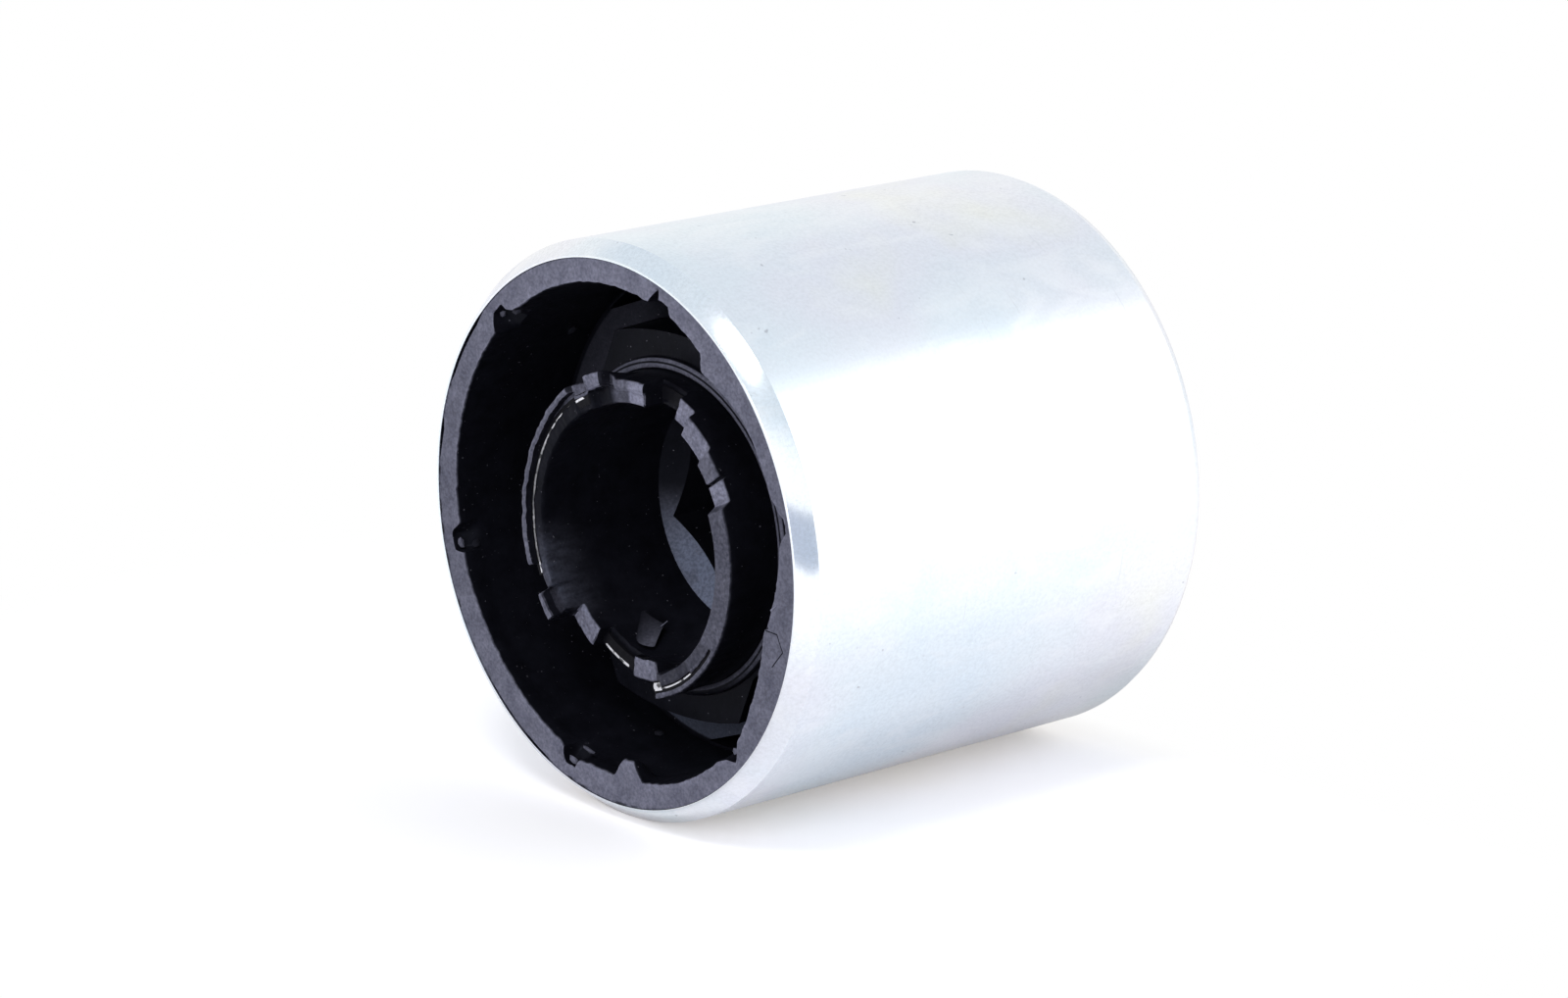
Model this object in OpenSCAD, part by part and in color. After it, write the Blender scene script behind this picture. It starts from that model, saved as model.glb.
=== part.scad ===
// Control arm bushing: a steel sleeve with a rubber moulding bonded into it,
// and a steel tube bonded into the middle of the rubber.
// It stands on its back end, with the axis along Z and the open end up.

/* [Outer sleeve] */
// Outside diameter, a press fit in the bracket
sleeve_od = 66; // [58:0.5:76]
// Length along the axis
sleeve_len = 60; // [54:0.5:80]
// Wall of the sleeve
sleeve_wall = 1.9; // [1.5:0.1:2.6]
// Flat edge that the chamfer leaves at the open end
edge_w = 0.3; // [0.2:0.05:0.8]
// Height of the turned chamfer at the open end
lead_h = 2.1; // [1:0.1:4]
// Width of the small chamfer at the back end
back_chamfer_w = 0.4; // [0.2:0.1:0.8]
// Height of the small chamfer at the back end
back_chamfer_h = 1; // [0.4:0.1:2]

/* [Inner tube] */
// Outside diameter of the steel tube
tube_od = 34.8; // [32:0.2:38]
// Wall of the steel tube
tube_wall = 1.5; // [1:0.1:2.2]
// Depth of the steel end below the open end of the sleeve
tube_depth = 2.2; // [1.6:0.1:4]
// Depth of the two cut-outs in the steel end
cutout_h = 4; // [1:0.1:5]
// Height of the steel end above the back end of the sleeve
tube_back = 2.6; // [2:0.1:5]

/* [Rubber between sleeve and tube] */
// Thickness of the lining inside the sleeve
lining_t = 3.1; // [2:0.1:4]
// Height of the lining's back face above the end of the sleeve
lining_back = 0.5; // [0.2:0.1:2]
// Depth of the annular cavity at the open end
cavity_depth = 16; // [12:0.5:22]
// Depth of the annular recess at the back end
recess_depth = 6; // [3:0.5:10]
// Thickness of rubber over the outside of the tube
cover_t = 0.6; // [0.4:0.1:1.5]
// Depth of the two slots, from the curved side to the flat side
slot_w = 2.4; // [1.5:0.1:4]
// Width of the ledge of rubber between a slot and the lining's face
slot_ledge = 0.3; // [0.1:0.1:1]
// Direction of the middle of the first slot
slot_turn = 110; // [90:1:125]

/* [Collar with its two stops] */
// Depth of the collar's face below the open end
collar_depth = 9.5; // [7:0.5:11]
// Radial width of the round collar outside the covered tube
collar_w = 1.9; // [1:0.1:3]
// Free travel between a stop and the lining
stop_gap = 5.9; // [4:0.1:7]
// Width of a stop at its curved end
stop_tip_w = 20; // [14:0.5:26]
// Width of a stop where it leaves the collar
stop_root_w = 27; // [20:0.5:30]
// Radius of the curved end of a stop
stop_round = 40; // [25:1:60]
// Radius of the bead round the foot of the tube
bead_r = 0.8; // [0.4:0.1:1.2]

/* [Bore] */
// Thickness of rubber in the tube at the mouth of the bore
mouth_t = 0.7; // [0.4:0.1:1.2]
// Height of the plain round mouth, above the taper
mouth_h = 6; // [5:0.2:8]
// Thickness of rubber in the tube where the round bore ends
seat_t = 2.1; // [1.2:0.1:3]
// Depth of the round bore below the open end
bore_depth = 18.6; // [14:0.2:24]
// Hexagon across its flats
hex_af = 22; // [18:0.2:24]
// Direction of one corner of the hexagon
hex_turn = 17; // [0:1:59]
// Angle of the lead-in cones from the axis
lead_angle = 53; // [35:1:65]

/* [Moulded ends] */
// Thickness of rubber over the back end of the steel tube
end_t = 1.2; // [0.8:0.1:2]
// Direction of the first notch in the rim
notch_turn = 13; // [0:1:59]
// Number of notches in the rim
notch_count = 6; // [3:1:8]
// Width of a notch
notch_w = 2.4; // [1:0.1:4]
// Radial depth of a notch
notch_r = 1.5; // [0.5:0.1:2]
// Depth of a notch below the rim
notch_h = 2.5; // [1:0.1:5]
// How far the outer lip reaches over the steel end
lip_grip = 0.1; // [0.05:0.05:0.4]
// Height of the tallest block of rubber above the steel end
block_h = 1; // [0.6:0.1:1.4]
// Depth of the deepest gap in the rubber below the steel end
gap_h = 4.2; // [1.2:0.1:5]

/* [Hidden] */
$fn = 96;
eps = 0.01;

// How far a cut runs past the rubber it goes through
over = 1;

// First and last angles of the cut-outs in the steel end
tube_cutouts = [[22, 113], [205, 285]];
// Steps in the rubber round the steel end: first and last angles, and the height above
// the steel as a part of block_h, or below it as a part of gap_h
end_steps = [
  [284, 386, 0.3], [24, 34, -0.29], [33, 46, -0.21], [45, 62, -0.36], [61, 72, -0.67], [71, 86, -1],
  [85, 103, -0.33], [102, 117, 0.7], [115, 202, 0.9], [200, 212, -0.06], [222.5, 238, -0.67],
  [237, 265, -1], [264, 282, -0.43], [281, 286, -1]
];
// The same for steps in the outer lip alone, and inside the lip
lip_steps = [[201, 213, -0.31]];
inner_steps = [[116, 201, -0.03]];

sleeve_r = sleeve_od / 2;
rubber_r = sleeve_r - sleeve_wall;
cavity_r = rubber_r - lining_t;
tube_r = tube_od / 2;
tube_in_r = tube_r - tube_wall;
cover_r = tube_r + cover_t;
collar_r = cover_r + collar_w;
stop_r = cavity_r - stop_gap;
stop_root_y = collar_r * sin(45);
mouth_r = tube_in_r - mouth_t;
seat_r = tube_in_r - seat_t;
hex_r = hex_af / 2 / cos(30);
core_r = 0.9 * hex_af / 2;
lip_r = tube_r - lip_grip;

floor_z = sleeve_len - cavity_depth;
collar_z = sleeve_len - collar_depth;
steel_top = sleeve_len - tube_depth;
block_top = steel_top + block_h;
face_back = tube_back - end_t;
mouth_z = steel_top - mouth_h;
seat_z = sleeve_len - bore_depth;

// A part of a ring between two angles
module arc_ring(inner, outer, low, high, first, last) {
  rotate([0, 0, first])
    rotate_extrude(angle = last - first)
      translate([inner, low])
        square([outer - inner, high - low]);
}

module outer_sleeve() {
  lead_r = rubber_r + edge_w;
  color("silver")
    rotate_extrude()
      polygon([
        [rubber_r, 0],
        [sleeve_r - back_chamfer_w, 0],
        [sleeve_r, back_chamfer_h],
        [sleeve_r, sleeve_len - lead_h],
        [lead_r, sleeve_len],
        [rubber_r, sleeve_len]
      ]);
}

module inner_tube() {
  color("gainsboro")
    difference() {
      rotate_extrude()
        translate([tube_in_r, tube_back])
          square([tube_wall, steel_top - tube_back]);
      for (cut = tube_cutouts)
        arc_ring(tube_in_r - over, tube_r + over, steel_top - cutout_h, steel_top + over, cut[0], cut[1]);
    }
}

// One stop of the collar, its curved end facing the lining along +Y
module stop() {
  height = collar_z - floor_z;
  translate([0, 0, floor_z])
    difference() {
      intersection() {
        linear_extrude(height)
          polygon([
            [-stop_root_w / 2, 0],
            [-stop_root_w / 2, stop_root_y],
            [-stop_tip_w / 2, stop_r],
            [stop_tip_w / 2, stop_r],
            [stop_root_w / 2, stop_root_y],
            [stop_root_w / 2, 0]
          ]);
        translate([0, stop_r - stop_round, 0])
          cylinder(r = stop_round, h = height);
      }
      translate([0, 0, -eps])
        cylinder(r = cover_r, h = height + 2 * eps);
    }
}

// The turned section of the rubber, with a round core where the hexagon goes through
module rubber_section() {
  rotate_extrude()
    polygon([
      [rubber_r, lining_back],
      [rubber_r, sleeve_len],
      [cavity_r, sleeve_len],
      [cavity_r, floor_z],
      [collar_r, floor_z],
      [collar_r, collar_z],
      [cover_r, collar_z],
      [cover_r, block_top],
      [mouth_r, block_top],
      [mouth_r, mouth_z],
      [seat_r, seat_z],
      [core_r, seat_z - (seat_r - core_r) / tan(lead_angle)],
      [core_r, face_back + (mouth_r - core_r) / tan(lead_angle)],
      [mouth_r, face_back],
      [cover_r, face_back],
      [cover_r, recess_depth],
      [cavity_r, recess_depth],
      [cavity_r, lining_back]
    ]);
}

// The rounded bead on the collar's face, round the foot of the tube
module foot_bead() {
  translate([0, 0, collar_z])
    rotate_extrude()
      translate([cover_r + bead_r * 0.7, 0])
        circle(bead_r);
}

// A slot beside the lining, right through the floor, curved outside and flat inside
module slot() {
  outer = cavity_r - slot_ledge;
  height = floor_z - recess_depth + 2 * over;
  translate([0, 0, recess_depth - over])
    intersection() {
      cylinder(r = outer, h = height);
      translate([outer - slot_w, -outer, 0])
        cube([2 * slot_w, 2 * outer, height]);
    }
}

module rim_notch() {
  translate([cavity_r - over, -notch_w / 2, sleeve_len - notch_h])
    cube([notch_r + over, notch_w, notch_h + over]);
}

// Clears one step of the rubber round the steel end, between two radii
module end_step(step, inner, outer) {
  height = step[2] * (step[2] > 0 ? block_h : gap_h);
  low = max(steel_top + height, collar_z + 2 * bead_r);
  arc_ring(inner, outer, low, block_top + over, step[0], step[1]);
}

module rubber_body() {
  color("dimgray")
    difference() {
      union() {
        rubber_section();
        stop();
        mirror([0, 1, 0]) stop();
        foot_bead();
      }
      inner_tube();
      rotate([0, 0, hex_turn])
        cylinder(r = hex_r, h = sleeve_len, $fn = 6);
      for (turn = [slot_turn, slot_turn + 180])
        rotate([0, 0, turn]) slot();
      for (i = [0:notch_count - 1])
        rotate([0, 0, notch_turn + i * 360 / notch_count]) rim_notch();
      for (step = end_steps) end_step(step, mouth_r - over, cover_r + over);
      for (step = lip_steps) end_step(step, lip_r, cover_r + over);
      for (step = inner_steps) end_step(step, mouth_r - over, lip_r);
    }
}

outer_sleeve();
rubber_body();
inner_tube();
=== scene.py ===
import math

import bmesh
import bpy
from mathutils import Matrix, Vector, noise


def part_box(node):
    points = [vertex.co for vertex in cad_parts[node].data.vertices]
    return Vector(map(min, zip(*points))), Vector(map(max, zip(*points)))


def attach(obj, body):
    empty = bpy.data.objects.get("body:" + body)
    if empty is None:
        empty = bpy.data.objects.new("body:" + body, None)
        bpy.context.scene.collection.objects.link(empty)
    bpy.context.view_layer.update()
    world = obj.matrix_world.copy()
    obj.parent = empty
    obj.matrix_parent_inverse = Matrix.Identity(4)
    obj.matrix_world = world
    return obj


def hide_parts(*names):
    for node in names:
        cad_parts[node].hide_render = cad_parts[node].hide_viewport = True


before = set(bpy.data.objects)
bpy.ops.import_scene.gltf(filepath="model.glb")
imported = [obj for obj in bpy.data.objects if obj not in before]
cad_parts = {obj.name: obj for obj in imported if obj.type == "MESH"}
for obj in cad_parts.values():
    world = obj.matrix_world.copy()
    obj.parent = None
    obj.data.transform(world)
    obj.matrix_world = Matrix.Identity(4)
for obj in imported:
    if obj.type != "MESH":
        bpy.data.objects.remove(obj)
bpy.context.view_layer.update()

# Sizes in millimetres, from the frame or as in the part's source
MM = 0.001
sleeve_low, sleeve_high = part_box("outer_sleeve")
tube_low, tube_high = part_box("inner_tube")
SLEEVE_R = sleeve_high.x / MM
SLEEVE_LEN = sleeve_high.z / MM
SLEEVE_WALL = 1.9
EDGE_W = 0.3
LEAD_H = 2.1
BACK_CHAMFER_W = 0.4
BACK_CHAMFER_H = 1.0
SLEEVE_EDGE_ROUND = 0.06
RUBBER_R = SLEEVE_R - SLEEVE_WALL
LINING_T = 3.1
CAVITY_R = RUBBER_R - LINING_T
TUBE_R = tube_high.x / MM
TUBE_WALL = 1.5
TUBE_IN_R = TUBE_R - TUBE_WALL
TUBE_BACK = tube_low.z / MM
TUBE_TOP = tube_high.z / MM
TUBE_CUT_TOP = TUBE_TOP - 4.0
TUBE_CUTOUTS = [(22, 113), (205, 285)]
COVER_R = TUBE_R + 0.6
MOUTH_R = TUBE_IN_R - 0.7
CROWN_TOP = SLEEVE_LEN - 2.0
RUBBER_EDGE_ROUND = 0.25
FLOOR_Z = SLEEVE_LEN - 16.0
COLLAR_Z = SLEEVE_LEN - 9.5

# The tube sits a little off the sleeve's axis at the open end, and the rubber near it follows
LEAN = Vector((0.55, -1.0, 0)) * MM
LEAN_FOOT = SLEEVE_LEN - 20.0
LEAN_R = 23.0
LEAN_FADE = 4.5

# Heights where the turned rim and the torn tube end take over from the moulding's lower part
RIM_FOOT = SLEEVE_LEN - 6.0
CROWN_FOOT = SLEEVE_LEN - 8.0
BETWEEN_R = 24.0

# The rim's ragged inner edge, once round: direction and radius
RIM_EDGE = [
    (0, 28.0), (10, 29.1), (12, 29.9), (15, 29.9), (17, 29.3), (21, 28.8), (37, 28.6), (41, 28.1),
    (46, 27.4), (53, 26.6), (54, 26.8), (56.5, 28.2), (68, 28.6), (70, 29.4), (73.3, 29.4), (74, 30.6),
    (75, 29.8), (76, 28.5), (100, 28.3), (124, 28.0), (127, 28.2), (129, 28.9), (130.5, 30.0), (134, 30.0),
    (135, 28.9), (136, 28.0), (170, 27.9), (189, 27.7), (190, 28.5), (191.5, 29.8), (195, 29.5),
    (196, 27.8), (225, 27.4), (250, 27.6), (252, 28.0), (253, 29.8), (256.5, 29.6), (258, 28.2),
    (262, 27.8), (271, 27.7), (273.5, 26.0), (275, 25.6), (278.3, 25.7), (280, 27.2), (281, 28.0),
    (295, 28.4), (310, 28.5), (313, 29.0), (314.5, 30.0), (317, 29.3), (319, 28.6), (330, 27.6),
    (340, 27.0), (347, 26.5), (349.3, 26.6), (349.8, 27.3), (350.3, 26.9), (355, 27.4), (360, 28.0),
]
# Where the rim has come away from the sleeve: direction and radius of its outer edge
RIM_OUTSIDE = [
    (0, 31.1), (136, 31.1), (140, 30.8), (154, 30.85), (157, 31.1), (165, 31.1), (168, 30.7),
    (172, 30.85), (176, 31.1), (224, 31.1), (227, 30.95), (233, 30.95), (236, 31.1), (239, 31.1),
    (241, 30.9), (247, 30.95), (250, 31.1), (360, 31.1),
]
# Cuts in the rim, end to end: direction and radius
RIM_CUTS = [(349.1, 26.9), (349.6, 28.7), (346.6, 30.0), (341.9, 28.9)]
RIM_CUT_W = 0.1
# Torn flakes: direction, radius and depth below the open end, size along the rim, across it and in
# thickness, and how light they are
RIM_FLAKES = [
    (128.3, 28.6, 1.3, (0.9, 0.6, 0.4), 0.12),
    (132.6, 29.3, 1.0, (0.5, 0.4, 0.3), 0.25),
    (193.6, 28.9, 0.8, (0.7, 0.5, 0.35), 0.42),
    (194.4, 27.9, 2.2, (0.5, 0.2, 0.6), 0.05),
    (255.2, 29.0, 0.6, (0.7, 0.5, 0.3), 0.6),
    (257.5, 27.4, 1.6, (1.2, 0.25, 0.25), 0.3),
    (316.0, 29.0, 0.6, (0.5, 0.5, 0.3), 0.55),
    (140.5, 27.95, 12.5, (0.7, 0.2, 0.7), 0.09),
    (256.6, 27.95, 12.5, (0.7, 0.2, 0.7), 0.09),
]

# The torn tube end, once round: first and last direction, then how far the outer lip, the gap
# behind it, the strip along the steel and the lining stand above the plain face, and how light
# the lip and the lining are painted, partly as dusty rubber and partly as painted light for how
# the light falls on each block
CROWN_BLOCKS = [
    (0, 23.3, 0.0, 0.0, 0.0, 0.0, 0.36, 0.36),
    (25.2, 33.6, -1.36, -1.36, -1.36, -1.3, 0.9, 0.9),
    (34.1, 34.3, -2.1, -2.1, -2.1, -2.0, 0.1, 0.1),
    (34.8, 44.2, -1.1, -1.1, -1.15, -1.2, 0.48, 0.48),
    (46.0, 60.6, -1.7, -1.7, -1.7, -1.75, 0.8, 0.8),
    (61.2, 61.4, -2.8, -2.7, -2.5, -2.4, 0.4, 0.4),
    (62.0, 70.4, -3.0, -3.0, -3.0, -2.9, 0.9, 0.9),
    (71.4, 85.0, -4.4, -4.4, -4.4, -4.4, 0.0, 0.0),
    (85.7, 93.0, -1.5, -1.5, -1.6, -1.8, 1.3, 1.3),
    (95.0, 102.6, -1.5, -1.5, -1.6, -1.7, 0.5, 0.3),
    (104.0, 112.0, 0.3, 0.3, 0.2, -1.2, 0.7, 0.0),
    (113.0, 121.6, -0.4, -0.4, -0.1, -0.3, 0.45, 0.0),
    (122.4, 200.3, 0.7, -0.6, -0.6, -0.1, 0.55, 0.0),
    (200.8, 210.8, -1.3, -0.6, -0.6, 0.0, 0.3, 0.25),
    (211.3, 222.0, 0.7, 0.7, 0.7, -0.7, 0.6, 0.1),
    (222.7, 237.0, -3.0, -3.0, -3.0, -2.9, 0.75, 0.75),
    (237.6, 264.6, -4.7, -4.7, -4.7, -4.7, 0.0, 0.0),
    (265.2, 281.0, -2.0, -2.0, -2.0, -2.0, 0.65, 0.65),
    (281.6, 285.4, -4.7, -4.7, -4.7, -4.6, 0.0, 0.0),
    (286.0, 290.0, 0.0, -0.6, -0.6, -0.6, 0.4, 0.2),
    (290.6, 310.0, 0.0, -0.6, -0.6, 0.0, 0.4, 0.15),
    (311.0, 326.0, 0.0, -0.6, 0.0, 0.0, 0.38, 0.25),
    (327.0, 360.0, 0.0, 0.0, 0.0, 0.0, 0.36, 0.36),
]
# Radii where the lining, the strip along the steel and the gap behind the lip end
LINING_EDGE_R = 16.65
STRIP_EDGE_R = 16.95
GAP_EDGE_R = 17.29
# The tube end's inner and outer radius, where torn blocks lean in or out
CROWN_REACH = [
    (0, 15.1, 17.9), (101.5, 15.2, 18.0), (103.5, 15.2, 19.45), (112, 15.2, 19.2), (115, 15.2, 18.5),
    (122, 15.2, 18.9), (140, 15.2, 18.3), (160, 15.2, 18.0), (211, 15.2, 18.0), (211.5, 15.7, 17.95),
    (222.2, 15.7, 17.95), (222.8, 15.0, 18.0), (264.6, 15.2, 18.0), (265.2, 13.9, 16.4), (281, 13.9, 16.4),
    (281.6, 15.2, 18.0), (286, 15.1, 17.9), (360, 15.1, 17.9),
]
# Bare bright steel on the tube's end: first and last direction, inner and outer radius
BARE_STEEL = [
    (116.5, 204, 16.68, 16.96), (239.5, 254, 17.1, 17.5),
    (285.5, 290.2, 16.1, 16.96), (290.2, 310, 16.68, 16.85),
]


def smooth_step(value):
    clamped = min(max(value, 0.0), 1.0)
    return clamped * clamped * (3 - 2 * clamped)


def read_rows(rows, angle):
    """Values in a direction, read off rows of direction and values that go once round."""
    for first, last in zip(rows, rows[1:]):
        if first[0] <= angle <= last[0]:
            share = (angle - first[0]) / (last[0] - first[0])
            return [low + (high - low) * share for low, high in zip(first[1:], last[1:])]
    return list(rows[-1][1:])


def polar(vert):
    """A vertex's radius and height in millimetres, and its direction in degrees."""
    radius = math.hypot(vert.co.x, vert.co.y) / MM
    return radius, vert.co.z / MM, math.degrees(math.atan2(vert.co.y, vert.co.x)) % 360


def spot(radius, height, angle):
    """The point at a radius and height in millimetres, in a direction in degrees."""
    turn = math.radians(angle)
    return Vector((radius * math.cos(turn), radius * math.sin(turn), height)) * MM


def place(vert, radius, height, angle):
    vert.co = spot(radius, height, angle)


def at_depth(depth):
    """The height in metres that lies a depth in millimetres below the open end."""
    return (SLEEVE_LEN - depth) * MM


def lean_at(height):
    """How far the tube is off the axis at a height."""
    return LEAN * max(0.0, (height - LEAN_FOOT) / (CROWN_TOP - LEAN_FOOT))


def lean_with_tube(bm):
    """Moves what is round the tube with it, more towards the open end."""
    for vert in bm.verts:
        radius, height, _ = polar(vert)
        vert.co += lean_at(height) * (1 - smooth_step((radius - LEAN_R) / LEAN_FADE))


def roughness_at(radius, height, angle, grain):
    """A repeatable wobble from -1 to 1, with lumps of the given size in millimetres."""
    turn = math.radians(angle)
    point = Vector((radius * math.cos(turn), radius * math.sin(turn), height)) / grain
    return noise.noise(point)


def turned(profile, steps):
    """A ring turned about the axis from a closed profile of radius and height."""
    bm = bmesh.new()
    points = [bm.verts.new((radius * MM, 0, height * MM)) for radius, height in profile]
    edges = [bm.edges.new(pair) for pair in zip(points, points[1:] + points[:1])]
    bmesh.ops.spin(
        bm, geom=points + edges, cent=(0, 0, 0), axis=(0, 0, 1),
        angle=2 * math.pi, steps=steps, use_merge=True,
    )
    bmesh.ops.remove_doubles(bm, verts=bm.verts[:], dist=0.001 * MM)
    bmesh.ops.recalc_face_normals(bm, faces=bm.faces[:])
    return bm


def sharp_edges(bm, angle):
    limit = math.radians(angle)
    return [e for e in bm.edges if len(e.link_faces) == 2 and e.calc_face_angle(0) > limit]


def finish_piece(bm, name, material, node, crease=35):
    """Turns a bmesh into a piece that rides on the bush and stands for one CAD node."""
    for face in bm.faces:
        face.smooth = True
    for edge in sharp_edges(bm, crease):
        edge.smooth = False
    mesh = bpy.data.meshes.new(name)
    bm.to_mesh(mesh)
    bm.free()
    piece = bpy.data.objects.new(name, mesh)
    bpy.context.scene.collection.objects.link(piece)
    mesh.materials.append(material)
    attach(piece, "root")
    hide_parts(node)
    return piece


# Nodes for the finishes
def grey(value):
    return (value, value, value)


class Nodes:
    """Adds the nodes of one material, or of the world, and links them."""

    def __init__(self, tree):
        self.tree = tree

    def new(self, kind):
        return self.tree.nodes.new(kind)

    def feed(self, socket, value):
        """Links a socket to another node's output, or gives it a constant."""
        if isinstance(value, bpy.types.NodeSocket):
            self.tree.links.new(value, socket)
        elif socket.type == "RGBA":
            socket.default_value = (*value, 1)
        else:
            socket.default_value = value

    def place(self):
        return self.new("ShaderNodeTexCoord").outputs["Object"]

    def split(self, vector):
        node = self.new("ShaderNodeSeparateXYZ")
        self.feed(node.inputs[0], vector)
        return node.outputs

    def attribute(self, name):
        node = self.new("ShaderNodeAttribute")
        node.attribute_name = name
        return node.outputs["Fac"]

    def stretched(self, vector, scale):
        node = self.new("ShaderNodeMapping")
        self.feed(node.inputs["Vector"], vector)
        self.feed(node.inputs["Scale"], scale)
        return node.outputs[0]

    def noise(self, vector, scale, detail=2.0, roughness=0.5, distortion=0.0):
        node = self.new("ShaderNodeTexNoise")
        self.feed(node.inputs["Vector"], vector)
        self.feed(node.inputs["Scale"], scale)
        self.feed(node.inputs["Detail"], detail)
        self.feed(node.inputs["Roughness"], roughness)
        self.feed(node.inputs["Distortion"], distortion)
        return node.outputs

    def ramp(self, factor, stops):
        node = self.new("ShaderNodeValToRGB")
        elements = node.color_ramp.elements
        while len(elements) < len(stops):
            elements.new(0.5)
        for element, (position, colour) in zip(elements, stops):
            element.position = position
            element.color = (*colour, 1)
        self.feed(node.inputs["Fac"], factor)
        return node.outputs["Color"]

    def mix(self, factor, first, second, blend="MIX"):
        """One colour that passes into another as the factor goes from zero to one."""
        node = self.new("ShaderNodeMix")
        node.data_type = "RGBA"
        node.blend_type = blend
        self.feed(node.inputs[0], factor)
        self.feed(node.inputs[6], first)
        self.feed(node.inputs[7], second)
        return node.outputs[2]

    def chain(self, operation, values):
        """One value made from several, taken in turn by a sum's operation."""
        result = values[0]
        for value in values[1:]:
            node = self.new("ShaderNodeMath")
            node.operation = operation
            self.feed(node.inputs[0], result)
            self.feed(node.inputs[1], value)
            result = node.outputs[0]
        return result

    def product(self, *values):
        return self.chain("MULTIPLY", values)

    def total(self, *values):
        return self.chain("ADD", values)

    def greatest(self, *values):
        return self.chain("MAXIMUM", values)

    def rise(self, value, low, high):
        """Zero at or before low and one at or past high, with a soft change between."""
        node = self.new("ShaderNodeMapRange")
        node.interpolation_type = "SMOOTHSTEP"
        self.feed(node.inputs["Value"], value)
        self.feed(node.inputs["From Min"], low)
        self.feed(node.inputs["From Max"], high)
        return node.outputs[0]

    def band(self, value, low, high, fade):
        """One between low and high, falling to zero over the fade outside them."""
        return self.product(self.rise(value, low - fade, low), self.rise(value, high + fade, high))

    def combine(self, operation, first, second):
        """The outputs of a sum with two vectors."""
        node = self.new("ShaderNodeVectorMath")
        node.operation = operation
        self.feed(node.inputs[0], first)
        self.feed(node.inputs[1], second)
        return node.outputs

    def off_axis(self, vector):
        """How far a point is from the axis."""
        flat = self.combine("MULTIPLY", vector, (1, 1, 0))["Vector"]
        return self.combine("DISTANCE", flat, (0, 0, 0))["Value"]

    def towards(self, vector, angle):
        """How far a point's direction from the axis agrees with a direction, as a cosine."""
        flat = self.combine("MULTIPLY", vector, (1, 1, 0))["Vector"]
        unit = self.new("ShaderNodeVectorMath")
        unit.operation = "NORMALIZE"
        self.feed(unit.inputs[0], flat)
        turn = math.radians(angle)
        return self.combine("DOT_PRODUCT", unit.outputs[0], (math.cos(turn), math.sin(turn), 0))["Value"]

    def bump(self, height, strength, distance):
        node = self.new("ShaderNodeBump")
        self.feed(node.inputs["Height"], height)
        self.feed(node.inputs["Strength"], strength)
        self.feed(node.inputs["Distance"], distance)
        return node.outputs["Normal"]

    def glow(self, colour, strength=1.0):
        node = self.new("ShaderNodeEmission")
        self.feed(node.inputs["Color"], colour)
        self.feed(node.inputs["Strength"], strength)
        return node.outputs[0]

    def blend(self, factor, first, second):
        """One shader that passes into another as the factor goes from zero to one."""
        node = self.new("ShaderNodeMixShader")
        for socket, value in zip(node.inputs, (factor, first, second)):
            self.feed(socket, value)
        return node.outputs[0]


def start_material(name):
    material = bpy.data.materials.new(name)
    material.use_nodes = True
    nodes = Nodes(material.node_tree)
    return material, nodes, material.node_tree.nodes["Principled BSDF"].inputs


# Finish of the sleeve
def zinc_plate():
    """Bright zinc plate with faint tints, grain, specks and smears, and a smoother turned chamfer."""
    material, nodes, shader = start_material("zinc_plate")
    coords = nodes.place()
    on_chamfer = nodes.rise(nodes.split(coords)["Z"], at_depth(LEAD_H + SLEEVE_EDGE_ROUND), at_depth(LEAD_H))
    clouds = nodes.noise(coords, 38, detail=3)["Fac"]
    tint = nodes.ramp(clouds, [
        (0.30, (0.79, 0.88, 0.94)),
        (0.47, (0.84, 0.90, 0.94)),
        (0.60, (0.87, 0.885, 0.935)),
        (0.74, (0.91, 0.92, 0.87)),
    ])
    grain = nodes.noise(coords, 2400, detail=4, roughness=0.65)
    grain_tone = nodes.ramp(grain["Fac"], [(0.32, grey(0.90)), (0.62, grey(1.0))])
    plated = nodes.mix(1.0, tint, grain_tone, "MULTIPLY")
    specks = nodes.noise(coords, 900, detail=1)["Fac"]
    specked = nodes.ramp(specks, [(0.77, grey(0)), (0.82, grey(0.7))])
    plated = nodes.mix(specked, plated, (0.42, 0.43, 0.47))
    scratches = nodes.noise(nodes.stretched(coords, (60, 60, 1500)), 1.0, detail=2)["Fac"]
    scratched = nodes.ramp(scratches, [(0.735, grey(0)), (0.76, grey(0.35))])
    plated = nodes.mix(scratched, plated, (0.60, 0.62, 0.66))
    along_axis = nodes.stretched(coords, (150, 150, 70))
    smears = nodes.noise(along_axis, 1.0, detail=5, roughness=0.6, distortion=1.3)["Fac"]
    smeared = nodes.rise(smears, 0.47, 0.68)
    plated = nodes.mix(nodes.product(smeared, 0.35), plated, (0.94, 0.955, 0.965))
    nodes.feed(shader["Base Color"], plated)
    shader["Metallic"].default_value = 1.0
    rough = nodes.ramp(grain["Fac"], [(0.3, grey(0.36)), (0.7, grey(0.27))])
    worn = nodes.total(rough, nodes.product(smeared, 0.05))
    nodes.feed(shader["Roughness"], nodes.mix(on_chamfer, worn, grey(0.13)))
    turning = nodes.noise(nodes.stretched(coords, (20, 20, 9000)), 1.0, detail=2)
    skin = nodes.mix(on_chamfer, grain["Color"], turning["Color"])
    nodes.feed(shader["Normal"], nodes.bump(skin, 0.14, 0.04 * MM))
    return material


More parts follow.
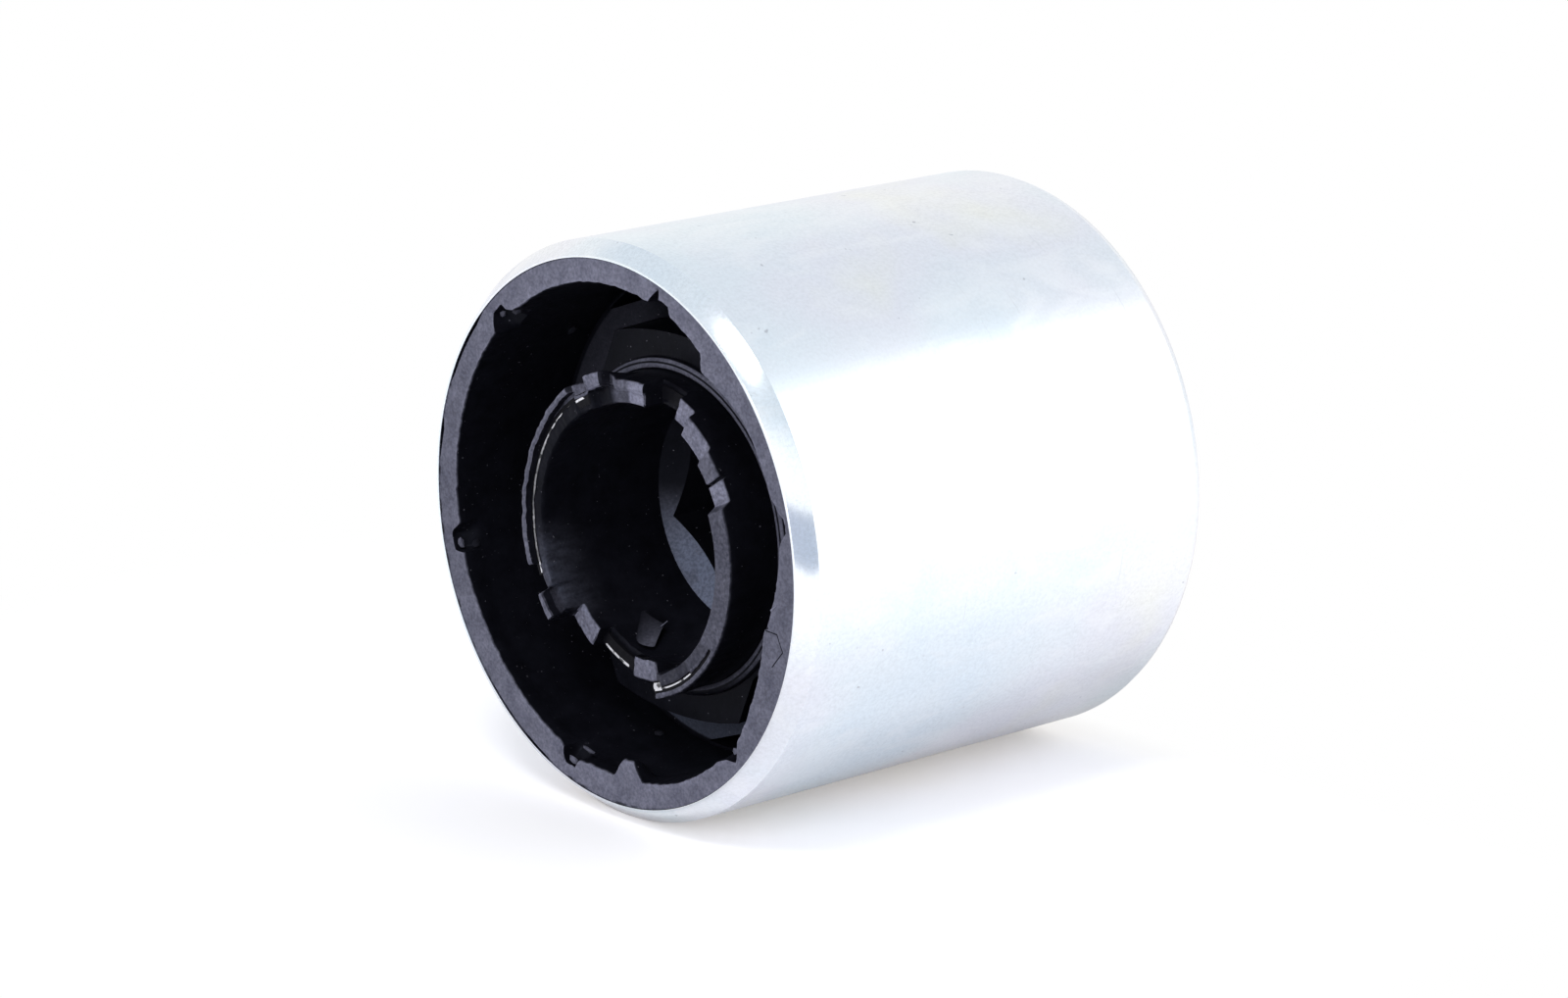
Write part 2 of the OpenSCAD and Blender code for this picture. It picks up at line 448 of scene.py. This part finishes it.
# Finish of the rubber
class RubberPoint:
    """What the rubber's finish reads at a point of its surface."""

    def __init__(self, nodes):
        self.place = nodes.place()
        self.height = nodes.split(self.place)["Z"]
        self.radius = nodes.off_axis(self.place)
        self.upward = nodes.split(nodes.new("ShaderNodeNewGeometry").outputs["True Normal"])["Z"]
        self.in_bore = nodes.rise(self.radius, 16.3 * MM, 15.8 * MM)


def cut_line(nodes, vector, first, last):
    """One along a thin straight cut between two points, each a direction and a radius."""
    start, end = (spot(radius, 0, angle) for angle, radius in (first, last))
    along = (end - start).normalized()
    across = Vector((-along.y, along.x, 0))
    middle = start.dot(across)
    half = RIM_CUT_W * MM / 2
    beside = nodes.combine("DOT_PRODUCT", vector, across)["Value"]
    ahead = nodes.combine("DOT_PRODUCT", vector, along)["Value"]
    return nodes.product(
        nodes.band(beside, middle - half, middle + half, half),
        nodes.band(ahead, start.dot(along), end.dot(along), half),
    )


def torn_dust_and_light(nodes, point):
    """Dusty, bloomed rubber and painted light on torn faces that look up, broken at the rim's outer edge and
    cuts, and on loose flakes, strings and the flap, whose lighter corner is painted light.
    """
    crumbs = nodes.noise(point.place, 600, detail=2)["Fac"]
    broken = nodes.product(
        nodes.rise(point.radius, 30.75 * MM, 30.9 * MM),
        nodes.rise(nodes.towards(point.place, 212), 0.1, 0.6),
        nodes.rise(crumbs, 0.45, 0.58),
        0.85,
    )
    cuts = [cut_line(nodes, point.place, first, last) for first, last in zip(RIM_CUTS, RIM_CUTS[1:])]
    whole = nodes.chain("SUBTRACT", (1.0, nodes.greatest(broken, *cuts)))
    torn = nodes.product(nodes.attribute("dust_and_light"), nodes.rise(point.upward, 0.2, 0.7), whole)
    return nodes.greatest(torn, nodes.attribute("scuff_and_light"))


def bore_bloom(nodes, point):
    """Streaks on the lower left of the bore, near its mouth."""
    streaks = nodes.noise(nodes.stretched(point.place, (1500, 1500, 380)), 1.0, detail=3)["Fac"]
    return nodes.product(
        nodes.rise(nodes.towards(point.place, 212), 0.89, 1.0),
        nodes.rise(point.height, at_depth(9.5), at_depth(0.5)),
        nodes.rise(streaks, -0.1, 0.9),
        point.in_bore,
        0.27,
    )


def seat_light(nodes, point):
    """Painted light, broken up by noise, on the lower side of the hexagon's lead-in where it faces up."""
    uneven = nodes.noise(point.place, 330, detail=3)["Fac"]
    return nodes.product(
        nodes.rise(nodes.towards(point.place, 248), 0.33, 0.95),
        nodes.rise(uneven, -0.3, 0.65),
        nodes.rise(point.upward, 0.4, 0.7),
        nodes.rise(point.height, at_depth(18), at_depth(18.8)),
        point.in_bore,
    )


def bead_highlights(nodes, point):
    """Two painted highlights along the bead at the foot of the tube, the outer one fading below."""
    from_tube = nodes.combine("SUBTRACT", point.place, lean_at(COLLAR_Z))["Vector"]
    radius = nodes.off_axis(from_tube)
    upper_right = nodes.towards(from_tube, 50)
    inner_line = nodes.band(radius, 18.20 * MM, 18.56 * MM, 0.12 * MM)
    outer_line = nodes.product(
        nodes.band(radius, 18.90 * MM, 19.12 * MM, 0.1 * MM),
        nodes.rise(upper_right, -0.6, 0.3),
    )
    return nodes.product(
        nodes.greatest(inner_line, outer_line),
        nodes.band(point.height, (COLLAR_Z - 0.1) * MM, (COLLAR_Z + 0.9) * MM, 0.1 * MM),
        nodes.rise(upper_right, -1.4, 0.8),
        0.7,
    )


def floor_light(nodes, point, angle, low, high, strength):
    """Painted light on a lit part of the cavity's floor in one direction; low and high are cosines from it.
    """
    return nodes.product(
        nodes.band(point.height, (FLOOR_Z - 0.1) * MM, (FLOOR_Z + 0.1) * MM, 0.1 * MM),
        nodes.rise(point.upward, 0.5, 0.9),
        nodes.rise(point.radius, 27.6 * MM, 27.3 * MM),
        nodes.rise(nodes.towards(point.place, angle), low, high),
        strength,
    )


def stop_edge_highlight(nodes, point):
    """A painted highlight on the rounded upper edge of the collar and its stops."""
    return nodes.product(
        nodes.band(point.height, (COLLAR_Z - 0.3) * MM, (COLLAR_Z - 0.005) * MM, 0.004 * MM),
        nodes.band(point.upward, 0.3, 0.95, 0.03),
        nodes.rise(point.radius, 19.0 * MM, 19.8 * MM),
        0.16,
    )


def back_bloom(nodes, point):
    """The faces at the back end."""
    return nodes.product(
        nodes.rise(point.height, 2.2 * MM, 1.6 * MM),
        nodes.rise(point.upward, -0.6, -0.9),
        0.45,
    )


def moulded_rubber():
    """Black rubber with specks, and a bluish grey: bloomed rubber on torn ends, in the bore and at the back
    end, and painted light on torn ends, the flap and lit parts of the moulding.
    """
    material, nodes, shader = start_material("moulded_rubber")
    point = RubberPoint(nodes)
    in_bore = bore_bloom(nodes, point)
    lit_seat = seat_light(nodes, point)
    upper_floor_light = floor_light(nodes, point, 142, 0.84, 0.98, 0.10)
    lower_floor_light = floor_light(nodes, point, 264, 0.85, 0.95, 0.30)
    # The bluish grey laid on here is bloomed rubber in places and painted light on the hexagon's lead-in,
    # the bead, the cavity's floor, the stops' edges and the torn faces
    bloom_and_light = nodes.greatest(
        torn_dust_and_light(nodes, point), in_bore, lit_seat, bead_highlights(nodes, point), upper_floor_light, lower_floor_light,
        stop_edge_highlight(nodes, point), back_bloom(nodes, point),
    )
    clouds = nodes.noise(point.place, 420, detail=5, roughness=0.65)["Fac"]
    black = nodes.ramp(clouds, [
        (0.3, (0.0034, 0.0035, 0.0054)),
        (0.7, (0.0068, 0.0070, 0.0108)),
    ])
    pale_bluish_grey = nodes.ramp(clouds, [
        (0.32, (0.150, 0.153, 0.212)),
        (0.50, (0.185, 0.188, 0.252)),
        (0.68, (0.215, 0.217, 0.290)),
    ])
    bluer = nodes.greatest(lit_seat, nodes.product(nodes.greatest(lower_floor_light, in_bore), 3.0))
    pale_bluish_grey = nodes.mix(bluer, pale_bluish_grey, (0.165, 0.190, 0.275))
    sparkle = nodes.noise(point.place, 3000, detail=2)["Fac"]
    grains = nodes.ramp(sparkle, [(0.35, grey(0.80)), (0.65, grey(1.20))])
    pale_bluish_grey = nodes.mix(1.0, pale_bluish_grey, grains, "MULTIPLY")
    colour = nodes.mix(bloom_and_light, black, pale_bluish_grey)
    specks = nodes.noise(point.place, 2600, detail=1)["Fac"]
    specked = nodes.ramp(specks, [(0.75, grey(0)), (0.81, grey(0.6))])
    nodes.feed(shader["Base Color"], nodes.mix(specked, colour, (0.20, 0.20, 0.24)))
    shader["Roughness"].default_value = 0.36
    shader["Specular IOR Level"].default_value = 0.045
    shader["Specular Tint"].default_value = (0.72, 0.80, 1.0, 1)
    skin = nodes.noise(point.place, 1300, detail=4)["Fac"]
    nodes.feed(shader["Normal"], nodes.bump(skin, 0.35, 0.1 * MM))
    return material


# Finish of the tube
def bare_tube_steel():
    """Steel that is bright where its cut end is bare and black elsewhere."""
    material, nodes, shader = start_material("bare_tube_steel")
    breaks = nodes.noise(nodes.place(), 950, detail=2)["Fac"]
    patchy = nodes.ramp(breaks, [(0.36, grey(0.1)), (0.44, grey(1))])
    cut = nodes.rise(nodes.attribute("bare"), 0.45, 0.75)
    shine = nodes.product(cut, patchy)
    nodes.feed(shader["Base Color"], nodes.mix(shine, (0.005, 0.005, 0.007), (0.72, 0.72, 0.75)))
    nodes.feed(shader["Metallic"], shine)
    shader["Specular IOR Level"].default_value = 0.05
    nodes.feed(shader["Roughness"], nodes.ramp(breaks, [(0.3, grey(0.5)), (0.7, grey(0.32))]))
    return material


# Outer sleeve
def make_sleeve(material):
    bm = turned([
        (RUBBER_R, 0),
        (SLEEVE_R - BACK_CHAMFER_W, 0),
        (SLEEVE_R, BACK_CHAMFER_H),
        (SLEEVE_R, SLEEVE_LEN - LEAD_H),
        (RUBBER_R + EDGE_W, SLEEVE_LEN),
        (RUBBER_R, SLEEVE_LEN),
    ], 288)
    bmesh.ops.bevel(
        bm, geom=sharp_edges(bm, 15), offset=SLEEVE_EDGE_ROUND * MM, offset_type="OFFSET",
        affect="EDGES", segments=2, profile=0.5, material=-1, clamp_overlap=True,
    )
    finish_piece(bm, "sleeve", material, "outer_sleeve", crease=40)


# Inner tube
def tube_end_height(angle):
    for first, last in TUBE_CUTOUTS:
        if first < angle < last:
            return TUBE_CUT_TOP
    return TUBE_TOP


def is_bare(radius, angle):
    return any(first < angle < last and inner < radius < outer for first, last, inner, outer in BARE_STEEL)


def make_tube(material):
    radii = [TUBE_R, 17.3, 17.15, 17.0, 16.93, 16.82, 16.72, 16.66, 16.4, 16.15, TUBE_IN_R]
    below_cut = TUBE_CUT_TOP - 1
    profile = [(TUBE_IN_R, TUBE_BACK), (TUBE_R, TUBE_BACK), (TUBE_R, below_cut)]
    profile += [(radius, TUBE_TOP) for radius in radii]
    profile.append((TUBE_IN_R, below_cut))
    bm = turned(profile, 720)
    bare = bm.verts.layers.float.new("bare")
    for vert in bm.verts:
        radius, height, angle = polar(vert)
        if height > TUBE_TOP - 0.1:
            wave = 0.04 * roughness_at(radius, 0, angle, 0.6)
            place(vert, radius, tube_end_height(angle) + wave - 0.04, angle)
            vert[bare] = is_bare(radius, angle)
    lean_with_tube(bm)
    finish_piece(bm, "tube", material, "inner_tube")


# Rubber moulding
def lower_moulding():
    """The moulded form below the rim and below the torn tube end."""
    bm = bmesh.new()
    bm.from_mesh(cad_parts["rubber_body"].data)
    bmesh.ops.remove_doubles(bm, verts=bm.verts[:], dist=0.002 * MM)
    bmesh.ops.dissolve_limit(
        bm, angle_limit=math.radians(0.5), verts=bm.verts[:], edges=bm.edges[:],
        use_dissolve_boundaries=False,
    )
    for foot, is_rim in ((RIM_FOOT, True), (CROWN_FOOT, False)):
        zone = [f for f in bm.faces if (polar(f.verts[0])[0] > BETWEEN_R) == is_rim]
        edges = list({e for f in zone for e in f.edges})
        verts = list({v for f in zone for v in f.verts})
        bmesh.ops.bisect_plane(
            bm, geom=verts + edges + zone, dist=0.0001 * MM,
            plane_co=(0, 0, foot * MM), plane_no=(0, 0, 1), clear_outer=True,
        )
    lean_with_tube(bm)
    return bm


def add_flake(bm, scuff_and_light, angle, radius, depth, size, lightness):
    """A torn flake of rubber; its size is along the rim, across it and in thickness."""
    made = bmesh.ops.create_icosphere(bm, subdivisions=1, radius=1.0)
    for vert in made["verts"]:
        along, across, thick = vert.co
        lump = 1 + 0.8 * noise.noise(vert.co * 2.3 + Vector((angle, 0, 0)))
        turn = angle + math.degrees(along * size[0] * lump / radius)
        place(vert, radius + across * size[1] * lump, SLEEVE_LEN - depth + thick * size[2], turn)
        vert[scuff_and_light] = lightness


def add_string(bm, scuff_and_light, first, last, thickness, lightness):
    """A thin string of rubber; each end is a direction, a radius and a depth below the open end."""
    start, end = (spot(radius, SLEEVE_LEN - depth, angle) for angle, radius, depth in (first, last))
    span = end - start
    aim = Matrix.Translation((start + end) / 2) @ span.to_track_quat("Z", "Y").to_matrix().to_4x4()
    made = bmesh.ops.create_cone(
        bm, cap_ends=True, segments=6, radius1=thickness * MM, radius2=thickness * MM / 2,
        depth=span.length, matrix=aim,
    )
    for vert in made["verts"]:
        vert[scuff_and_light] = lightness


def ragged_rim():
    """The end of the lining, with torn notches, flash and flakes round its inner edge."""
    top = SLEEVE_LEN
    bonded_r = RUBBER_R - 0.3
    wall_heights = [RIM_FOOT] + [top - depth for depth in (4.5, 3.2, 2.4, 1.7, 1.0, 0.5, 0.2)]
    face_radii = [CAVITY_R + step for step in (0.12, 0.4, 0.8, 1.2, 1.6, 2.0, 2.4, 2.8)] + [RUBBER_R - 0.08]
    profile = [(CAVITY_R, height) for height in wall_heights]
    profile += [(radius, top) for radius in face_radii]
    profile += [(RUBBER_R, top - 0.12), (RUBBER_R, top - 1.0), (RUBBER_R, RIM_FOOT)]
    bm = turned(profile, 900)
    dust_and_light = bm.verts.layers.float.new("dust_and_light")
    scuff_and_light = bm.verts.layers.float.new("scuff_and_light")
    for vert in bm.verts:
        radius, height, angle = polar(vert)
        fade = smooth_step((height - (top - 3.4)) / 2.6)
        edge = read_rows(RIM_EDGE, angle)[0] + 0.10 * roughness_at(CAVITY_R, 0, angle, 0.9)
        outside = read_rows(RIM_OUTSIDE, angle)[0] - RUBBER_R
        inward = min(max((bonded_r - radius) / (bonded_r - CAVITY_R), 0.0), 1.0)
        on_face = height > top - 0.1
        radius += (edge - CAVITY_R) * inward * fade + outside * (1 - inward) * fade
        radius += 0.05 * fade * inward * roughness_at(radius, height, angle, 0.5)
        if height > top - 0.4:
            lumps = 0.07 * roughness_at(radius, 0, angle, 1.6) + 0.04 * roughness_at(radius, 0, angle, 0.4)
            height -= 0.13 + lumps * min(1.0, 3 * inward)
            height -= 0.35 * max(0.0, edge - CAVITY_R - 0.9) * inward
        place(vert, radius, height, angle)
        mottled = 0.06 * roughness_at(radius, 0, angle, 2.5) + 0.08 * roughness_at(radius, 7, angle, 0.7)
        worn_edge = 0.14 * max(0.0, 1 - (radius - edge) / 0.6) * (1 + roughness_at(radius, 2, angle, 0.5))
        # Painted light: lit makes the rim's face lighter at its top and bottom than at its sides, for how
        # the light falls; mottled and worn_edge add a dusty, worn look
        lit = 0.53 + 0.18 * math.sin(math.radians(angle)) ** 2
        vert[dust_and_light] = lit + mottled + worn_edge if on_face else 0.0
    for flake in RIM_FLAKES:
        add_flake(bm, scuff_and_light, *flake)
    add_string(bm, scuff_and_light, (354.4, 27.4, 0.16), (356.2, 28.3, 0.1), 0.11, 0.85)
    return bm


def crown_rows():
    """The blocks of the torn tube end as rows for read_rows."""
    rows = []
    for first, last, *values in CROWN_BLOCKS:
        rows.append((first, *values))
        rows.append((last, *values))
    return rows


def torn_crown():
    """The end of the rubber on the tube: lips, blocks and gaps, with the flap torn off its lining."""
    wall = [CROWN_FOOT] + [CROWN_TOP - drop for drop in (4.4, 3.2, 2.2, 1.4, 0.7, 0.2)]
    lining_radii = [15.35, 15.6, 15.9, 16.2, 16.45, 16.62]
    steel_radii = [16.67, 16.8, 16.93]
    lip_radii = [16.98, 17.12, 17.26, 17.31, 17.55, 17.85]
    profile = [(MOUTH_R, height) for height in wall]
    profile += [(radius, CROWN_TOP) for radius in lining_radii + steel_radii + lip_radii]
    profile += [(COVER_R, height) for height in reversed(wall)]
    bm = turned(profile, 900)
    dust_and_light = bm.verts.layers.float.new("dust_and_light")
    scuff_and_light = bm.verts.layers.float.new("scuff_and_light")
    rows = crown_rows()
    for vert in bm.verts:
        radius, height, angle = polar(vert)
        shift = 0.35 * roughness_at(radius, 0, angle, 0.8)
        lip, gap, strip, lining, lip_dust_and_light, lining_dust_and_light = read_rows(rows, min(max(angle + shift, 0), 360))
        level = lip
        if radius < LINING_EDGE_R:
            level = lining
        elif radius < STRIP_EDGE_R:
            level = strip
        elif radius < GAP_EDGE_R:
            level = gap
        # Painted light: each block's lightness is partly dusty rubber and partly painted light for how the
        # light falls on it
        bloom_and_light = lining_dust_and_light if radius < LINING_EDGE_R else lip_dust_and_light
        rise = (height - CROWN_FOOT) / (CROWN_TOP - CROWN_FOOT)
        inner, outer = read_rows(CROWN_REACH, angle)
        outwards = (radius - MOUTH_R) / (COVER_R - MOUTH_R)
        reach = (inner - MOUTH_R) * (1 - outwards) + (outer - COVER_R) * outwards
        rough = 0.10 * roughness_at(radius, height, angle, 0.9)
        rough += 0.05 * roughness_at(radius, height, angle, 0.3)
        on_face = height > CROWN_TOP - 0.1
        place(vert, radius + (reach + rough) * rise * rise, height + (level + rough) * rise, angle)
        mottled = 1 + 0.5 * roughness_at(radius, 3, angle, 0.5)
        vert[dust_and_light] = bloom_and_light * mottled if on_face else 0.0
    torn = [vert for vert in bm.verts if vert.co.z > (CROWN_FOOT + 0.5) * MM]
    for _ in range(2):
        bmesh.ops.smooth_vert(bm, verts=torn, factor=0.4, use_axis_x=True, use_axis_y=True, use_axis_z=True)
    add_flap(bm, scuff_and_light)
    add_string(bm, scuff_and_light, (250.3, 14.4, 10.4), (251.8, 13.2, 11.6), 0.08, 0.9)
    add_string(bm, scuff_and_light, (39.5, 14.8, 5.1), (40.5, 15.2, 3.3), 0.08, 0.9)
    lean_with_tube(bm)
    return bm


def add_flap(bm, scuff_and_light):
    """A flap of lining that stands into the bore, with painted light that makes it lighter towards its free
    corner.
    """
    made = bmesh.ops.create_grid(bm, x_segments=8, y_segments=8, size=1.0)
    for vert in made["verts"]:
        along = (vert.co.x + 1) / 2
        up = (vert.co.y + 1) / 2
        turn = 237 + 13.5 * along + 12 * up - 3.5 * along * up
        depth = 10.8 + 0.4 * along - 3.0 * up * (1 + 0.2 * math.sin(math.pi * along))
        stand = 0.5 + 0.5 * along * (1 - up) + 0.15 * math.sin(math.pi * up)
        wall_r = MOUTH_R - 0.14 * max(0.0, depth - 8.2)
        place(vert, wall_r - stand, SLEEVE_LEN - depth, turn)
        # Painted light: the flap is lighter towards its free corner, where it catches the light
        vert[scuff_and_light] = 0.02 + 0.40 * along * (0.35 + 0.65 * up)
    faces = list({face for vert in made["verts"] for face in vert.link_faces})
    bmesh.ops.solidify(bm, geom=faces, thickness=0.35 * MM)


def make_rubber(material):
    lower = finish_piece(lower_moulding(), "rubber_lower", material, "rubber_body")
    rounding = lower.modifiers.new("moulded edges", "BEVEL")
    rounding.width = RUBBER_EDGE_ROUND * MM
    rounding.segments = 2
    rounding.limit_method = "ANGLE"
    rounding.angle_limit = math.radians(35)
    rounding.use_clamp_overlap = True
    finish_piece(ragged_rim(), "rubber_rim", material, "rubber_body")
    finish_piece(torn_crown(), "rubber_tube_end", material, "rubber_body")


# Studio, in metres: the bush lies on the floor along its side
CENTRE = Vector((0, 0, SLEEVE_LEN / 2)) * MM
FLOOR_Y = -SLEEVE_R * MM
FLOOR_SIZE = 3.0
SHADOW_CENTRE = (-0.012, FLOOR_Y, 0.045)
WHITE = (1, 1, 1)
GAP_COLOUR = (0.58, 0.63, 0.75)
# The camera at the photograph's viewing angle
CAMERA_PLACE = (0.420306, 0.150194, 0.400727)
CAMERA_RIGHT = (0.6572, 0.0, -0.7537)
CAMERA_UP = (-0.1965, 0.9654, -0.1713)
CAMERA_BACK = (0.7276, 0.2607, 0.6345)
# Square softboxes: name, direction from the bush, width and power
SOFTBOXES = [
    ("top softbox", (0.21, 0.85, 0.48), 0.18, 1.5),
    ("front softbox", (0.25, 0.30, 0.92), 0.35, 1.3),
    ("right softbox", (0.72, 0.35, -0.60), 0.6, 1.6),
]
SOFTBOX_DISTANCE = 0.7


def make_camera():
    data = bpy.data.cameras.new("camera")
    camera = bpy.data.objects.new("camera", data)
    bpy.context.scene.collection.objects.link(camera)
    axes = Matrix((CAMERA_RIGHT, CAMERA_UP, CAMERA_BACK)).transposed()
    camera.matrix_world = Matrix.Translation(CAMERA_PLACE) @ axes.to_4x4()
    data.sensor_fit = "HORIZONTAL"
    data.sensor_width = 36.0
    data.lens = 116.19
    bpy.context.scene.camera = camera


def make_softbox(name, direction, width, power):
    data = bpy.data.lights.new(name, "AREA")
    data.shape = "SQUARE"
    data.size = width
    data.energy = power
    lamp = bpy.data.objects.new(name, data)
    bpy.context.scene.collection.objects.link(lamp)
    away = Vector(direction).normalized()
    lamp.location = CENTRE + away * SOFTBOX_DISTANCE
    lamp.rotation_euler = away.to_track_quat("Z", "Y").to_euler()


def pale_floor():
    """Pale floor that keeps the bush's shadow and turns to plain white away from it, with a painted warm
    shade under the bush along the line where it touches.
    """
    material = bpy.data.materials.new("pale_floor")
    material.use_nodes = True
    material.node_tree.nodes.clear()
    nodes = Nodes(material.node_tree)
    rays = nodes.new("ShaderNodeLightPath").outputs
    coords = nodes.place()
    axes = nodes.split(coords)
    spread = nodes.rise(nodes.combine("DISTANCE", coords, SHADOW_CENTRE)["Value"], 0.046, 0.11)
    behind = nodes.rise(axes["Z"], 0.006, -0.008)
    beside = nodes.chain("ABSOLUTE", (axes["X"], 0))
    # Painted shade: the floor's colour is darker and warmer under the bush, along the line where it touches
    under = nodes.product(nodes.rise(beside, 0.020, 0.004), nodes.rise(axes["Z"], 0.064, 0.050))
    matte = nodes.new("ShaderNodeBsdfDiffuse")
    nodes.feed(matte.inputs["Color"], nodes.mix(under, (0.82, 0.815, 0.85), (0.84, 0.78, 0.72)))
    seen = nodes.product(rays["Is Camera Ray"], 0.28)
    mirrored = nodes.product(rays["Is Glossy Ray"], nodes.total(nodes.product(spread, 0.30), 0.05))
    near = nodes.new("ShaderNodeAddShader")
    nodes.feed(near.inputs[0], matte.outputs[0])
    nodes.feed(near.inputs[1], nodes.glow(WHITE, nodes.total(seen, mirrored)))
    away = nodes.product(nodes.greatest(spread, behind), rays["Is Camera Ray"])
    surface = nodes.blend(away, near.outputs[0], nodes.glow(WHITE))
    in_gap = nodes.product(
        rays["Is Glossy Ray"], nodes.rise(axes["X"], 0.19, 0.24), nodes.rise(axes["Z"], 0.13, 0.18),
    )
    surface = nodes.blend(in_gap, surface, nodes.glow(GAP_COLOUR))
    from_below = nodes.new("ShaderNodeNewGeometry").outputs["Backfacing"]
    surface = nodes.blend(from_below, surface, nodes.new("ShaderNodeBsdfTransparent").outputs[0])
    nodes.feed(nodes.new("ShaderNodeOutputMaterial").inputs["Surface"], surface)
    return material


def make_floor():
    bm = bmesh.new()
    bmesh.ops.create_grid(bm, x_segments=1, y_segments=1, size=FLOOR_SIZE)
    bmesh.ops.rotate(bm, verts=bm.verts[:], cent=(0, 0, 0), matrix=Matrix.Rotation(-math.pi / 2, 3, "X"))
    bmesh.ops.translate(bm, verts=bm.verts[:], vec=(0, FLOOR_Y, 0))
    mesh = bpy.data.meshes.new("floor")
    bm.to_mesh(mesh)
    bm.free()
    floor = bpy.data.objects.new("floor", mesh)
    bpy.context.scene.collection.objects.link(floor)
    mesh.materials.append(pale_floor())


def make_world():
    """White to the camera; metal also shows a greyer ceiling and a dark gap between the panels."""
    world = bpy.data.worlds.new("studio")
    bpy.context.scene.world = world
    world.use_nodes = True
    nodes = Nodes(world.node_tree)
    axes = nodes.split(nodes.new("ShaderNodeTexCoord").outputs["Generated"])
    ceiling = nodes.rise(axes["Y"], 0.42, 0.72)
    front = nodes.product(nodes.rise(axes["Z"], 0.2, 0.45), nodes.rise(axes["X"], 0.3, 0.6))
    gap = nodes.product(front, nodes.rise(axes["Y"], 0.19, 0.16))
    panels = nodes.mix(front, WHITE, (1.25, 1.25, 1.28))
    panels = nodes.mix(ceiling, panels, (0.83, 0.87, 0.925))
    panels = nodes.mix(gap, panels, GAP_COLOUR)
    rays = nodes.new("ShaderNodeLightPath").outputs
    backdrop = nodes.new("ShaderNodeBackground")
    nodes.feed(backdrop.inputs["Color"], nodes.mix(rays["Is Camera Ray"], panels, WHITE))
    room = world.node_tree.nodes["Background"]
    room.inputs["Color"].default_value = (0.96, 0.98, 1.0, 1)
    room.inputs["Strength"].default_value = 0.65
    shown = nodes.greatest(rays["Is Camera Ray"], rays["Is Glossy Ray"], rays["Is Transmission Ray"])
    light = nodes.blend(shown, room.outputs[0], backdrop.outputs[0])
    nodes.feed(world.node_tree.nodes["World Output"].inputs["Surface"], light)


make_sleeve(zinc_plate())
make_tube(bare_tube_steel())
make_rubber(moulded_rubber())
make_camera()
make_floor()
make_world()
for softbox in SOFTBOXES:
    make_softbox(*softbox)
bpy.context.scene.view_settings.view_transform = "Standard"
